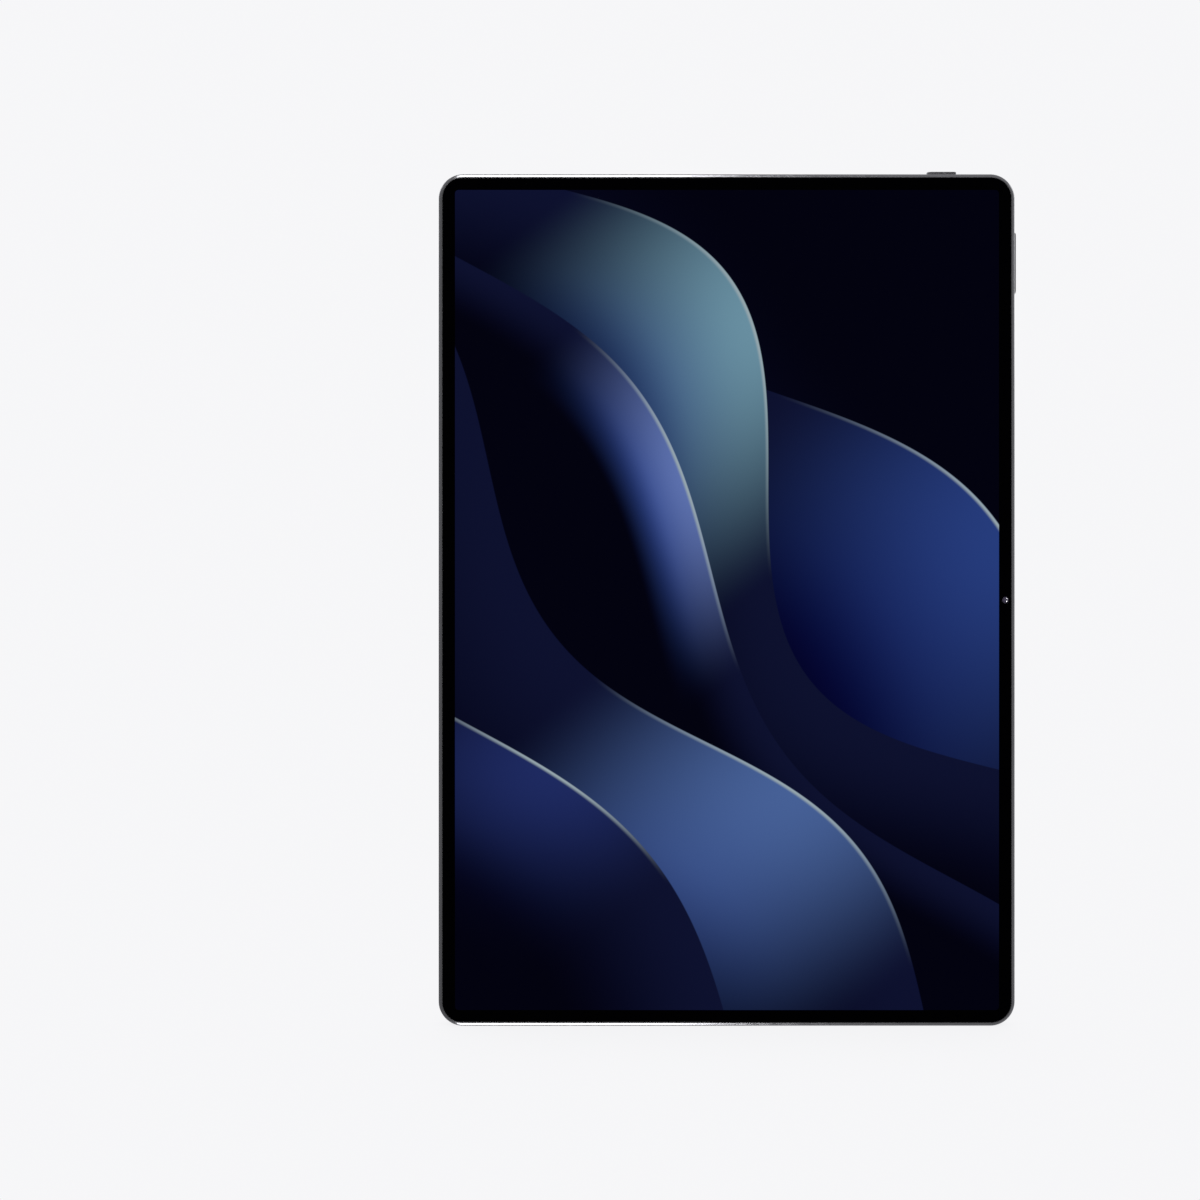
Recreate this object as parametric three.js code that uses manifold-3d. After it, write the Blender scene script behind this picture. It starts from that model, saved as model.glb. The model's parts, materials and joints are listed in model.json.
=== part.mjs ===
// A 13-inch tablet computer: an aluminium unibody tray closed by a glass and LCD display module,
// with the battery, boards, cameras, speakers, keys and charging socket that it holds.
//
// Units are millimetres. +X is the screen's right, +Z is up with the tablet held in portrait, and the
// screen faces -Y. The origin is the centre of the flat back face, so the body fills y <= 0 and only
// the camera island stands out behind it.

import * as THREE from "three";
import { mergeVertices } from "three/addons/utils/BufferGeometryUtils.js";
import Module from "manifold-3d";

const wasm = await Module();
wasm.setup();

// ---------------------------------------------------------------- driving dimensions

// Display and body outline
const SCREEN_DIAGONAL = 330.2;
const SCREEN_ASPECT = [2, 3.015];
const INK_BORDER = 4.2; // printed black border between the picture and the glass edge
const RIM = 1.4; // metal seen round the glass
const BODY_RADIUS = 8.2;
const BODY_DEPTH = 6.6; // back face to glass face
const GLASS_PROUD = 0.25; // how far the glass stands in front of the metal rim

const ASPECT_LENGTH = Math.hypot(...SCREEN_ASPECT);
const PICTURE_W = (SCREEN_DIAGONAL * SCREEN_ASPECT[0]) / ASPECT_LENGTH;
const PICTURE_H = (SCREEN_DIAGONAL * SCREEN_ASPECT[1]) / ASPECT_LENGTH;
const GLASS_W = PICTURE_W + 2 * INK_BORDER;
const GLASS_H = PICTURE_H + 2 * INK_BORDER;
const BODY_W = GLASS_W + 2 * RIM;
const BODY_H = GLASS_H + 2 * RIM;
const GLASS_RADIUS = BODY_RADIUS - RIM;
const SIDE = BODY_W / 2; // outer face of the long edges
const END = BODY_H / 2; // outer face of the short edges

// Housing
const RIM_Y = -(BODY_DEPTH - GLASS_PROUD); // front edge of the metal
const BACK_FILLET = 2.0;
const RIM_FILLET = 0.9;
const BACK_WALL = 0.8;
const SIDE_WALL = 1.9;
const GLASS_GAP = 0.15; // gap round the glass, filled by its gasket
const LEDGE_Y = -5.6; // step that the glass is bonded to
const INNER_SIDE = SIDE - SIDE_WALL;
const INNER_END = END - SIDE_WALL;
const INNER_RADIUS = BODY_RADIUS - SIDE_WALL;

// Display layers, as [front y, back y]
const GLASS_Y = [-BODY_DEPTH, -5.9];
const GASKET_Y = [-5.87, -5.63];
const LCD_Y = [-5.85, -5.3];
const BACKLIGHT_Y = [-5.25, -4.6];
const TRAY_Y = [-4.55, -4.4];
const LCD_MARGIN = 0.9; // LCD border outside the picture
const LCD_W = PICTURE_W + 2 * LCD_MARGIN;
const LCD_H = PICTURE_H + 2 * LCD_MARGIN;
const LCD_RADIUS = 2.5;

// Battery
const CELL = { width: 84, height: 180, y: [-3.4, -1.1], radius: 3, edge: 0.6, gap: 7, centreZ: -15 };
const PROTECTION_BOARD = { width: 120, height: 2.6, gap: 0.7 };

// Boards, with what is soldered and screwed to them. Centres and screws are given as [x, z].
const BOARD_Y = [-3.0, -2.2];
const MAIN_BOARD = {
  x: [-92, 65],
  z: [80, 120],
  radius: 2,
  screws: [[-88, 84], [-88, 116], [10, 84], [61, 84]],
};
const USB_BOARD = { x: [-27, 27], z: [-140, -115], radius: 1, screws: [[-22, -121], [22, -121]] };
const PROCESSOR = { side: 15, height: 0.77, centre: [-24, 101] };
const SHIELD_Y = [-4.15, -3.05];
const SHIELD_WALL = 0.2;
const SHIELDS = [
  { name: "processor_shield", size: [34, 28], centre: PROCESSOR.centre },
  { name: "power_shield", size: [28, 24], centre: [18, 103] },
  { name: "wireless_shield", size: [20, 20], centre: [-62, 101] },
];
const HEAT_SPREADER = { size: [130, 34], y: [-4.33, -4.2], centre: [-9, 101] };
const SOLDER_GAP = 0.03;
const SCREW = { headRadius: 1.3, headHeight: 0.45, shaftRadius: 0.6, holeRadius: 0.8, length: 1.3 };
const BOSS_RADIUS = 2.0;
const BOSS_GAP = 0.05; // between a board and the boss or screw head that holds it

// Flat cables
const DISPLAY_FLEX = { width: 30, thickness: 0.15, centreZ: 100, turn: 1.4, tail: 14, gap: 0.1 };
const BOARD_FLEX = { width: 6, y: [-2.1, -1.95], overlap: [6, 8] };

// Microphones and antennas
const MIC = { length: 3.5, depth: 1.1, height: 2.6, y: -3.2, topX: 12, sideZ: 14, holeRadius: 0.5 };
const ANTENNA = { y: [-5.2, -2.4], thickness: 0.6, topLength: 36, topX: -8, sideLength: 44, sideZ: 20 };
const WALL_GAP = 0.1; // between the inside of the wall and what is fitted against it

// Speakers and their slots in the short edges
const SPEAKER = { width: 34, height: 18, y: [-4.0, -1.0], x: 46, radius: 2, wallGap: 0.55 };
const SLOT = { count: 6, length: 3.6, width: 1.1, pitch: 5.0, y: -3.2 };
const DUST_MESH = { length: 31, width: 2.2, thickness: 0.2, wallGap: 0.15 };

// Keys
const KEY_Y = -3.5;
const KEY_THICKNESS = 2.4;
const KEY_GAP = 0.15; // running gap between a key and its slot
const FLANGE_GAP = 0.25; // gap between a key's flange and the wall inside
const FLANGE_THICKNESS = 0.4;
const NUB_LENGTH = 0.38;
const NUB_RADIUS = 0.7;
const DOME_GAP = 0.37; // free travel between a nub and its dome
const DOME = { radius: 2, height: 0.35 };
const POWER_KEY = { length: 10, x: SIDE - 24.2, proud: 1.1, flange: [11.6, 2.8], nubs: 0, bracket: 12 };
const VOLUME_KEY = { length: 20.7, z: END - 29.55, proud: 0.65, flange: [9, 3.2], nubs: 7, bracket: 20 };
const KEY_EDGE = 0.2; // rounding of a key's outer edge
const BRACKET = { thickness: 0.45, height: 3, gap: 0.03 };

// Charging socket
const USB = { width: 8.94, height: 3.16, wall: 0.3, base: 0.5, depth: 7.35, y: -2.7, gap: 0.15 };
const USB_TONGUE = { width: 6.69, height: 0.7, setBack: 0.75, base: 1.4, baseHeight: 2.0 };
const USB_NOTCH_GAP = 0.3; // between the shell and the board cut away round it

// Rear camera island
const ISLAND_X = SIDE - 19.3;
const LENS_Z = END - 17.9;
const PILL_Z = END - 37.0; // centre of the island's lower end
const WINDOWS_Z = END - 37.6; // centre line of the flash and the sensor window
const ISLAND_RADIUS = 11.9;
const COLLAR_RADIUS = 13.0; // the island's wider upper end, round the lens ring
const ISLAND_GAP = 0.15;
const PLATE = { top: 0.9, flange: 1.2, flangeY: [-1.5, -0.85], lensHole: 8.9 };
const RING = { outer: 12.7, inner: 10.15, base: 0.95, top: 2.4, chamfer: 0.7, lip: 0.3 };
const WINDOW = { radius: 10.0, y: [1.35, 2.15] };
const BAFFLE = { throat: 3.3, mouth: 8.6, rim: 9.9, throatY: -0.55, mouthY: 0.97, rimY: 1.25 };
const SMALL_WINDOW = { hole: 4.0, radius: 3.85, y: [0.2, 0.75], spread: 5.5 };
const FLASH = { radius: 2.45, gap: 0.1, led: 2.6, ledY: [-1.2, 0.1] };
const SENSOR = { side: 4.2, y: [-2.6, 0.1] };
const LENS = { barrel: 2.9, bore: 3.1, glass: 2.3, seat: 0.4, dome: 0.45, y: [-3.0, -0.1] };
const AUTOFOCUS = { side: 9.5, y: [-3.15, -0.65] };
const IMAGE_SENSOR = { side: 10.5, y: [-3.9, -3.3] };

// Front camera, in the ink border half way up the right side
const SELFIE = { x: SIDE - 3.3, radius: 1.25, bodySide: 6, bodyY: [-4.3, -1.9], barrelY: [-5.8, -4.33] };

// Facets
const CORNER_STEPS = 4; // a quarter circle gets twice this many facets
const ROUND_STEPS = 32;
const LENS_STEPS = 24;
const SMALL_ROUND_STEPS = 16;
const TINY_ROUND_STEPS = 8;

// ---------------------------------------------------------------- materials

const finish = (color, roughness, metalness) =>
  new THREE.MeshStandardMaterial({ color, roughness, metalness });

const MATERIAL = {
  aluminium: finish(0x6c6d72, 0.42, 0.9),
  glass: finish(0x05060a, 0.05, 0.0),
  darkGlass: finish(0x14151a, 0.08, 0.0),
  blackPlastic: finish(0x0d0d0f, 0.55, 0.0),
  lcd: finish(0x12255a, 0.2, 0.0),
  whitePlastic: finish(0xe6e6e2, 0.5, 0.0),
  steel: finish(0xb4b6b8, 0.35, 1.0),
  battery: finish(0x2b2c30, 0.6, 0.1),
  board: finish(0x14361f, 0.5, 0.0),
  chip: finish(0x1c1c1f, 0.4, 0.0),
  flex: finish(0xa8641c, 0.5, 0.0),
  graphite: finish(0x26272a, 0.6, 0.2),
  lensGlass: finish(0x23326b, 0.03, 0.0),
  phosphor: finish(0xe9dc96, 0.35, 0.0),
  gold: finish(0xc9a04a, 0.3, 1.0),
};

// ---------------------------------------------------------------- joins and cuts

function solidOf(geometry) {
  const bare = geometry.index ? geometry.toNonIndexed() : geometry.clone();
  bare.deleteAttribute("normal");
  bare.deleteAttribute("uv");
  const merged = mergeVertices(bare, 1e-4);
  const corners = merged.index.array;
  const faces = [];
  for (let i = 0; i < corners.length; i += 3) {
    const [a, b, c] = corners.slice(i, i + 3);
    if (a !== b && b !== c && c !== a) faces.push(a, b, c);
  }
  return new wasm.Manifold(
    new wasm.Mesh({
      numProp: 3,
      vertProperties: merged.attributes.position.array,
      triVerts: new Uint32Array(faces),
    }),
  );
}

function geometryOf(solid) {
  const mesh = solid.getMesh();
  const geometry = new THREE.BufferGeometry();
  geometry.setAttribute("position", new THREE.BufferAttribute(mesh.vertProperties, mesh.numProp));
  geometry.setIndex(new THREE.BufferAttribute(mesh.triVerts, 1));
  const faceted = geometry.toNonIndexed();
  faceted.computeVertexNormals();
  return faceted;
}

const cut = (geometry, ...tools) =>
  geometryOf(tools.reduce((solid, tool) => solid.subtract(solidOf(tool)), solidOf(geometry)));

const join = (geometry, ...more) =>
  geometryOf(more.reduce((solid, extra) => solid.add(solidOf(extra)), solidOf(geometry)));

const common = (a, b) => geometryOf(solidOf(a).intersect(solidOf(b)));

// ---------------------------------------------------------------- outlines

function roundedRect(width, height, radius) {
  const x = width / 2 - radius;
  const y = height / 2 - radius;
  const shape = new THREE.Shape();
  shape.absarc(x, y, radius, 0, Math.PI / 2);
  shape.absarc(-x, y, radius, Math.PI / 2, Math.PI);
  shape.absarc(-x, -y, radius, Math.PI, 1.5 * Math.PI);
  shape.absarc(x, -y, radius, 1.5 * Math.PI, 2 * Math.PI);
  shape.closePath();
  return shape;
}

// A slot: straight along the longer way, with a half circle at each end.
function stadium(width, height) {
  const radius = Math.min(width, height) / 2;
  const x = width / 2 - radius;
  const y = height / 2 - radius;
  const start = width > height ? -Math.PI / 2 : 0;
  const shape = new THREE.Shape();
  shape.absarc(x, y, radius, start, start + Math.PI);
  shape.absarc(-x, -y, radius, start + Math.PI, start + 2 * Math.PI);
  shape.closePath();
  return shape;
}

function rectangle(width, height) {
  const shape = new THREE.Shape();
  shape.moveTo(-width / 2, -height / 2);
  shape.lineTo(width / 2, -height / 2);
  shape.lineTo(width / 2, height / 2);
  shape.lineTo(-width / 2, height / 2);
  shape.closePath();
  return shape;
}

// ---------------------------------------------------------------- solids from outlines

// Extrudes an outline from z = start to z = end, with both edges rounded to radius edge.
function extrude(shape, [start, end], { edge = 0, edgeSteps = 2, curveSegments = CORNER_STEPS } = {}) {
  const geometry = new THREE.ExtrudeGeometry(shape, {
    depth: end - start - 2 * edge,
    curveSegments,
    bevelEnabled: edge > 0,
    bevelThickness: edge,
    bevelSize: edge,
    bevelOffset: -edge,
    bevelSegments: edgeSteps,
  });
  return geometry.translate(0, 0, start + edge);
}

// The outline's x and y become X and Z, and it runs from y[0] to y[1] through the tablet's thickness.
const throughY = (shape, [front, back], options) =>
  extrude(shape, [-back, -front], options).rotateX(Math.PI / 2);

// The outline's x and y become X and Y, and it runs along Z.
const alongZ = (shape, range, options) => extrude(shape, range, options);

// The outline's x and y become -Z and Y, and it runs along X.
const alongX = (shape, range, options) => extrude(shape, range, options).rotateY(Math.PI / 2);

// A disc or a turned profile about the Y axis. The profile's points are [radius, y].
function turned(profile, steps = ROUND_STEPS) {
  const points = profile.map(([radius, y]) => new THREE.Vector2(radius, y));
  return new THREE.LatheGeometry(points, steps);
}

const disc = (radius, [front, back], steps = ROUND_STEPS) =>
  turned([[0, front], [radius, front], [radius, back], [0, back]], steps);

const ringProfile = (outer, inner, [front, back]) =>
  [[inner, front], [outer, front], [outer, back], [inner, back], [inner, front]];

const box = (width, [front, back], height) =>
  new THREE.BoxGeometry(width, back - front, height).translate(0, (front + back) / 2, 0);

const at = (geometry, x, y, z) => geometry.translate(x, y, z);

// A place given on the tablet's face, as a position.
const onFace = ([x, z]) => [x, 0, z];

// ---------------------------------------------------------------- the assembly

const tablet = new THREE.Group();

function add(name, geometry, material, [x, y, z] = [0, 0, 0]) {
  const mesh = new THREE.Mesh(geometry, material);
  mesh.name = name;
  mesh.position.set(x, y, z);
  tablet.add(mesh);
  return mesh;
}

const slotPlaces = Array.from({ length: SLOT.count }, (_, i) => (i - (SLOT.count - 1) / 2) * SLOT.pitch);
const SPEAKER_PLACES = [
  ["top_left", -1, 1],
  ["top_right", 1, 1],
  ["bottom_left", -1, -1],
  ["bottom_right", 1, -1],
];

// The island's outline, grown by a margin: a round collar for the lens ring over a narrower pill.
function islandSolid(range, margin) {
  const collar = at(disc(COLLAR_RADIUS + margin, range), 0, 0, LENS_Z);
  const length = LENS_Z - PILL_Z + 2 * (ISLAND_RADIUS + margin);
  const pill = throughY(stadium(2 * (ISLAND_RADIUS + margin), length), range, {
    curveSegments: 2 * CORNER_STEPS,
  });
  return join(collar, at(pill, 0, 0, (LENS_Z + PILL_Z) / 2));
}

// ---- rear housing: outer shell, cavity, glass pocket, bosses and every opening

function rearHousing() {
  const outline = roundedRect(BODY_W, BODY_H, BODY_RADIUS);
  const past = 4 * BACK_FILLET; // lets each fillet show at one end only
  const backRounded = throughY(outline, [RIM_Y - past, 0], { edge: BACK_FILLET, edgeSteps: 4 });
  const frontRounded = throughY(outline, [RIM_Y, past], { edge: RIM_FILLET, edgeSteps: 2 });

  const inner = roundedRect(2 * INNER_SIDE, 2 * INNER_END, INNER_RADIUS);
  const cavity = throughY(inner, [RIM_Y - 1, -BACK_WALL]);
  const pocketOutline = roundedRect(
    GLASS_W + 2 * GLASS_GAP,
    GLASS_H + 2 * GLASS_GAP,
    GLASS_RADIUS + GLASS_GAP,
  );
  const pocket = throughY(pocketOutline, [RIM_Y - 1, LEDGE_Y]);
  const tray = cut(common(backRounded, frontRounded), cavity, pocket);

  const screwPlaces = [...MAIN_BOARD.screws, ...USB_BOARD.screws];
  const bosses = screwPlaces.map(([x, z]) =>
    at(disc(BOSS_RADIUS, [BOARD_Y[1] + BOSS_GAP, -BACK_WALL / 2], SMALL_ROUND_STEPS), x, 0, z),
  );
  const bossHoles = screwPlaces.map(([x, z]) =>
    at(disc(SCREW.holeRadius, [BOARD_Y[1] - 1, -BACK_WALL], TINY_ROUND_STEPS), x, 0, z),
  );

  const wallCut = 2 * SIDE_WALL;
  const speakerSlots = SPEAKER_PLACES.flatMap(([, side, end]) =>
    slotPlaces.map((offset) =>
      at(
        alongZ(stadium(SLOT.length, SLOT.width), [-wallCut / 2, wallCut / 2], { curveSegments: 2 }),
        side * SPEAKER.x + offset,
        SLOT.y,
        end * (END - SIDE_WALL / 2),
      ),
    ),
  );
  const powerSlot = at(
    alongZ(stadium(POWER_KEY.length + 2 * KEY_GAP, KEY_THICKNESS + 2 * KEY_GAP), [0, wallCut]),
    POWER_KEY.x,
    KEY_Y,
    END - wallCut + 1,
  );
  const volumeSlot = at(
    alongX(stadium(VOLUME_KEY.length + 2 * KEY_GAP, KEY_THICKNESS + 2 * KEY_GAP), [0, wallCut]),
    SIDE - wallCut + 1,
    KEY_Y,
    VOLUME_KEY.z,
  );
  const usbSlot = at(
    alongZ(stadium(USB.width + 2 * USB.gap, USB.height + 2 * USB.gap), [0, wallCut]),
    0,
    USB.y,
    -END - 1,
  );
  const island = at(islandSolid([-BACK_WALL - 1, 1], ISLAND_GAP), ISLAND_X, 0, 0);
  const micHole = () => disc(MIC.holeRadius, [-wallCut, wallCut], TINY_ROUND_STEPS);
  const topMicHole = at(micHole().rotateX(Math.PI / 2), MIC.topX, MIC.y, END);
  const sideMicHole = at(micHole().rotateZ(Math.PI / 2), SIDE, MIC.y, MIC.sideZ);

  return cut(
    cut(join(tray, ...bosses), ...bossHoles, ...speakerSlots),
    powerSlot,
    volumeSlot,
    usbSlot,
    island,
    topMicHole,
    sideMicHole,
  );
}

add("rear_housing", rearHousing(), MATERIAL.aluminium);

// ---- display module

function displayModule() {
  const glassShape = roundedRect(GLASS_W, GLASS_H, GLASS_RADIUS);
  add("cover_glass", throughY(glassShape, GLASS_Y, { edge: 0.25, edgeSteps: 2 }), MATERIAL.glass);

  const gasketOuter = roundedRect(GLASS_W, GLASS_H, GLASS_RADIUS);
  const gasketInner = roundedRect(2 * INNER_SIDE, 2 * INNER_END, INNER_RADIUS);
  gasketOuter.holes.push(gasketInner);
  add("glass_gasket", throughY(gasketOuter, GASKET_Y), MATERIAL.blackPlastic);

  const layer = roundedRect(LCD_W, LCD_H, LCD_RADIUS);
  const layerOptions = { curveSegments: 2 };
  add("lcd_panel", throughY(layer, LCD_Y, layerOptions), MATERIAL.lcd);
  add("backlight_unit", throughY(layer, BACKLIGHT_Y, layerOptions), MATERIAL.whitePlastic);
  add("backlight_tray", throughY(layer, TRAY_Y, layerOptions), MATERIAL.steel);

  add("display_flex_cable", displayFlex(), MATERIAL.flex, [0, 0, DISPLAY_FLEX.centreZ]);
}

// The panel's flex leaves its left edge, turns round the layers and lies over the main board.
function displayFlex() {
  const { width, thickness, turn, tail, gap } = DISPLAY_FLEX;
  const edgeX = -LCD_W / 2;
  const turnX = edgeX - turn;
  const tailX = edgeX + tail;
  const frontY = LCD_Y[1] - 0.2;
  const backY = TRAY_Y[1] + gap;
  const wrap = new THREE.Shape();
  wrap.moveTo(edgeX - gap, frontY);
  wrap.lineTo(turnX, frontY);
  wrap.lineTo(turnX, backY + thickness);
  wrap.lineTo(tailX, backY + thickness);
  wrap.lineTo(tailX, backY);
  wrap.lineTo(turnX + thickness, backY);
  wrap.lineTo(turnX + thickness, frontY + thickness);
  wrap.lineTo(edgeX - gap, frontY + thickness);
  wrap.closePath();
  return alongZ(wrap, [-width / 2, width / 2]);
}

displayModule();

// ---- battery

function battery() {
  const shape = roundedRect(CELL.width, CELL.height, CELL.radius);
  const offset = (CELL.width + CELL.gap) / 2;
  for (const [side, sign] of [["left", -1], ["right", 1]]) {
    const cell = throughY(shape, CELL.y, { edge: CELL.edge, curveSegments: 2 });
    add(`battery_cell_${side}`, cell, MATERIAL.battery, [sign * offset, 0, CELL.centreZ]);
  }
  const { width, height, gap } = PROTECTION_BOARD;
  const stripZ = CELL.centreZ + CELL.height / 2 + gap + height / 2;
  add("battery_protection_board", box(width, BOARD_Y, height), MATERIAL.board, [0, 0, stripZ]);
}

battery();

// ---- boards, chips, shields and cables

function screwGeometry() {
  const { headRadius, headHeight, shaftRadius, length } = SCREW;
  const headBack = BOARD_Y[0] - BOSS_GAP;
  const headFront = headBack - headHeight;
  return turned(
    [
      [0, headFront],
      [headRadius, headFront],
      [headRadius, headBack],
      [shaftRadius, headBack],
      [shaftRadius, headBack + length],
      [0, headBack + length],
    ],
    SMALL_ROUND_STEPS,
  );
}

// A board of the given outline, with a hole for each of its screws and any notch cut out of it.
function boardGeometry({ x, z, radius, screws }, ...notches) {
  const outline = roundedRect(x[1] - x[0], z[1] - z[0], radius);
  const plate = throughY(outline, BOARD_Y, { curveSegments: 2 });
  const holes = screws.map(([screwX, screwZ]) =>
    at(disc(SCREW.holeRadius, [BOARD_Y[0] - 1, BOARD_Y[1] + 1], TINY_ROUND_STEPS), screwX, 0, screwZ),
  );
  return cut(at(plate, (x[0] + x[1]) / 2, 0, (z[0] + z[1]) / 2), ...notches, ...holes);
}

function addBoard(name, board, ...notches) {
  add(name, boardGeometry(board, ...notches), MATERIAL.board);
  board.screws.forEach(([x, z], i) =>
    add(`${name}_screw_${i + 1}`, screwGeometry(), MATERIAL.steel, [x, 0, z]),
  );
}

// A pressed-steel can, open towards the board.
function shieldCan([width, height]) {
  const can = box(width, SHIELD_Y, height);
  const hollow = box(width - 2 * SHIELD_WALL, [SHIELD_Y[0] + SHIELD_WALL, 0], height - 2 * SHIELD_WALL);
  return cut(can, hollow);
}

function mainBoard() {
  addBoard("main_board", MAIN_BOARD);
  const chipBack = BOARD_Y[0] - SOLDER_GAP;
  const chip = box(PROCESSOR.side, [chipBack - PROCESSOR.height, chipBack], PROCESSOR.side);
  add("processor_chip", chip, MATERIAL.chip, onFace(PROCESSOR.centre));
  for (const { name, size, centre } of SHIELDS) add(name, shieldCan(size), MATERIAL.steel, onFace(centre));
  const { size, y, centre } = HEAT_SPREADER;
  add("heat_spreader", box(size[0], y, size[1]), MATERIAL.graphite, onFace(centre));
}

mainBoard();

// ---- charging socket on its own board

function usbParts() {
  const mouth = -END + USB.gap;
  const back = mouth + USB.depth;
  const outer = alongZ(stadium(USB.width, USB.height), [mouth, back]);
  const bore = alongZ(stadium(USB.width - 2 * USB.wall, USB.height - 2 * USB.wall), [
    mouth - 1,
    back - USB.base,
  ]);
  add("usb_c_shell", cut(outer, bore), MATERIAL.steel, [0, USB.y, 0]);

  const root = back - USB.base - SOLDER_GAP;
  const blade = alongZ(rectangle(USB_TONGUE.width, USB_TONGUE.height), [mouth + USB_TONGUE.setBack, root]);
  const base = alongZ(rectangle(USB_TONGUE.width, USB_TONGUE.baseHeight), [root - USB_TONGUE.base, root]);
  add("usb_c_tongue", join(blade, base), MATERIAL.blackPlastic, [0, USB.y, 0]);

  const notchDepth = back + USB_NOTCH_GAP - USB_BOARD.z[0];
  const notch = box(USB.width + 2 * USB_NOTCH_GAP, [BOARD_Y[0] - 1, BOARD_Y[1] + 1], 2 * notchDepth);
  addBoard("usb_board", USB_BOARD, at(notch, 0, 0, USB_BOARD.z[0]));

  // A flat cable joins the two boards, behind them and between the battery cells.
  const ends = [USB_BOARD.z[1] - BOARD_FLEX.overlap[0], MAIN_BOARD.z[0] + BOARD_FLEX.overlap[1]];
  const cable = box(BOARD_FLEX.width, BOARD_FLEX.y, ends[1] - ends[0]);
  add("board_flex_cable", cable, MATERIAL.flex, onFace([0, (ends[0] + ends[1]) / 2]));
}

// ---- speakers, each firing through its own row of slots and dust mesh

function speakers() {
  const meshZ = INNER_END - DUST_MESH.wallGap - DUST_MESH.thickness / 2;
  const boxZ = INNER_END - SPEAKER.wallGap - SPEAKER.height / 2;
  const bodyShape = roundedRect(SPEAKER.width, SPEAKER.height, SPEAKER.radius);
  const meshShape = stadium(DUST_MESH.length, DUST_MESH.width);
  const half = DUST_MESH.thickness / 2;
  for (const [name, side, end] of SPEAKER_PLACES) {
    const x = side * SPEAKER.x;
    const body = throughY(bodyShape, SPEAKER.y, { curveSegments: 2 });
    add(`speaker_${name}`, body, MATERIAL.blackPlastic, [x, 0, end * boxZ]);
    const mesh = alongZ(meshShape, [-half, half], { curveSegments: 2 });
    add(`speaker_mesh_${name}`, mesh, MATERIAL.blackPlastic, [x, SLOT.y, end * meshZ]);
  }
}

// ---- keys, each with its dome switch and bracket

// Distances measured inwards from the outer face of the wall that a key passes through.
const WALL_TO_NUB_END = SIDE_WALL + FLANGE_GAP + FLANGE_THICKNESS + NUB_LENGTH;
const WALL_TO_DOME = WALL_TO_NUB_END + DOME_GAP;
const WALL_TO_BRACKET = WALL_TO_DOME + DOME.height + BRACKET.gap;

// A key along X that is pressed towards -Z, with its wall's outer face at z = 0: the cap that shows, the
// flange that keeps it in, and a nub over each dome. Nubs beyond the flange sit on a narrow spine.
function keyGeometry({ length, proud, flange, nubs }) {
  const flangeTop = -(SIDE_WALL + FLANGE_GAP);
  const flangeRange = [flangeTop - FLANGE_THICKNESS, flangeTop];
  const cap = alongZ(stadium(length, KEY_THICKNESS), [flangeTop - FLANGE_THICKNESS / 2, proud], {
    edge: KEY_EDGE,
  });
  const plate = alongZ(rectangle(...flange), flangeRange);
  const spine = alongZ(rectangle(2 * nubs + 2 * NUB_RADIUS, 2 * NUB_RADIUS), flangeRange);
  const places = nubs ? [-nubs, nubs] : [0];
  const pegs = places.map((x) =>
    at(
      disc(NUB_RADIUS, [0, NUB_LENGTH + FLANGE_THICKNESS / 2], SMALL_ROUND_STEPS).rotateX(Math.PI / 2),
      x,
      0,
      -WALL_TO_NUB_END,
    ),
  );
  return join(cap, plate, spine, ...pegs);
}

const domeGeometry = () =>
  turned(
    [
      [0, 0],
      [DOME.radius, 0],
      [0.7 * DOME.radius, 0.7 * DOME.height],
      [0.3 * DOME.radius, DOME.height],
      [0, DOME.height],
    ],
    SMALL_ROUND_STEPS,
  ).rotateX(Math.PI / 2);

const bracketGeometry = (length) => alongZ(rectangle(length, BRACKET.height), [-BRACKET.thickness, 0]);

// Each key stands in a group whose +Z points out of the wall that it passes through.
function keyGroup(x, z, turn) {
  const group = new THREE.Group();
  group.position.set(x, KEY_Y, z);
  group.rotation.y = turn;
  tablet.add(group);
  return (name, geometry, material, [along, depth]) =>
    group.add(add(name, geometry, material, [along, 0, -depth]));
}

function keys() {
  const domeDepth = WALL_TO_DOME + DOME.height;
  const { nubs } = VOLUME_KEY;

  const fitPower = keyGroup(POWER_KEY.x, END, 0);
  fitPower("power_button", keyGeometry(POWER_KEY), MATERIAL.aluminium, [0, 0]);
  fitPower("power_dome", domeGeometry(), MATERIAL.steel, [0, domeDepth]);
  fitPower("power_bracket", bracketGeometry(POWER_KEY.bracket), MATERIAL.steel, [0, WALL_TO_BRACKET]);

  const fitVolume = keyGroup(SIDE, VOLUME_KEY.z, Math.PI / 2);
  fitVolume("volume_key", keyGeometry(VOLUME_KEY), MATERIAL.aluminium, [0, 0]);
  fitVolume("volume_up_dome", domeGeometry(), MATERIAL.steel, [-nubs, domeDepth]);
  fitVolume("volume_down_dome", domeGeometry(), MATERIAL.steel, [nubs, domeDepth]);
  fitVolume("volume_bracket", bracketGeometry(VOLUME_KEY.bracket), MATERIAL.steel, [0, WALL_TO_BRACKET]);
}

// ---- rear camera island

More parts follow.
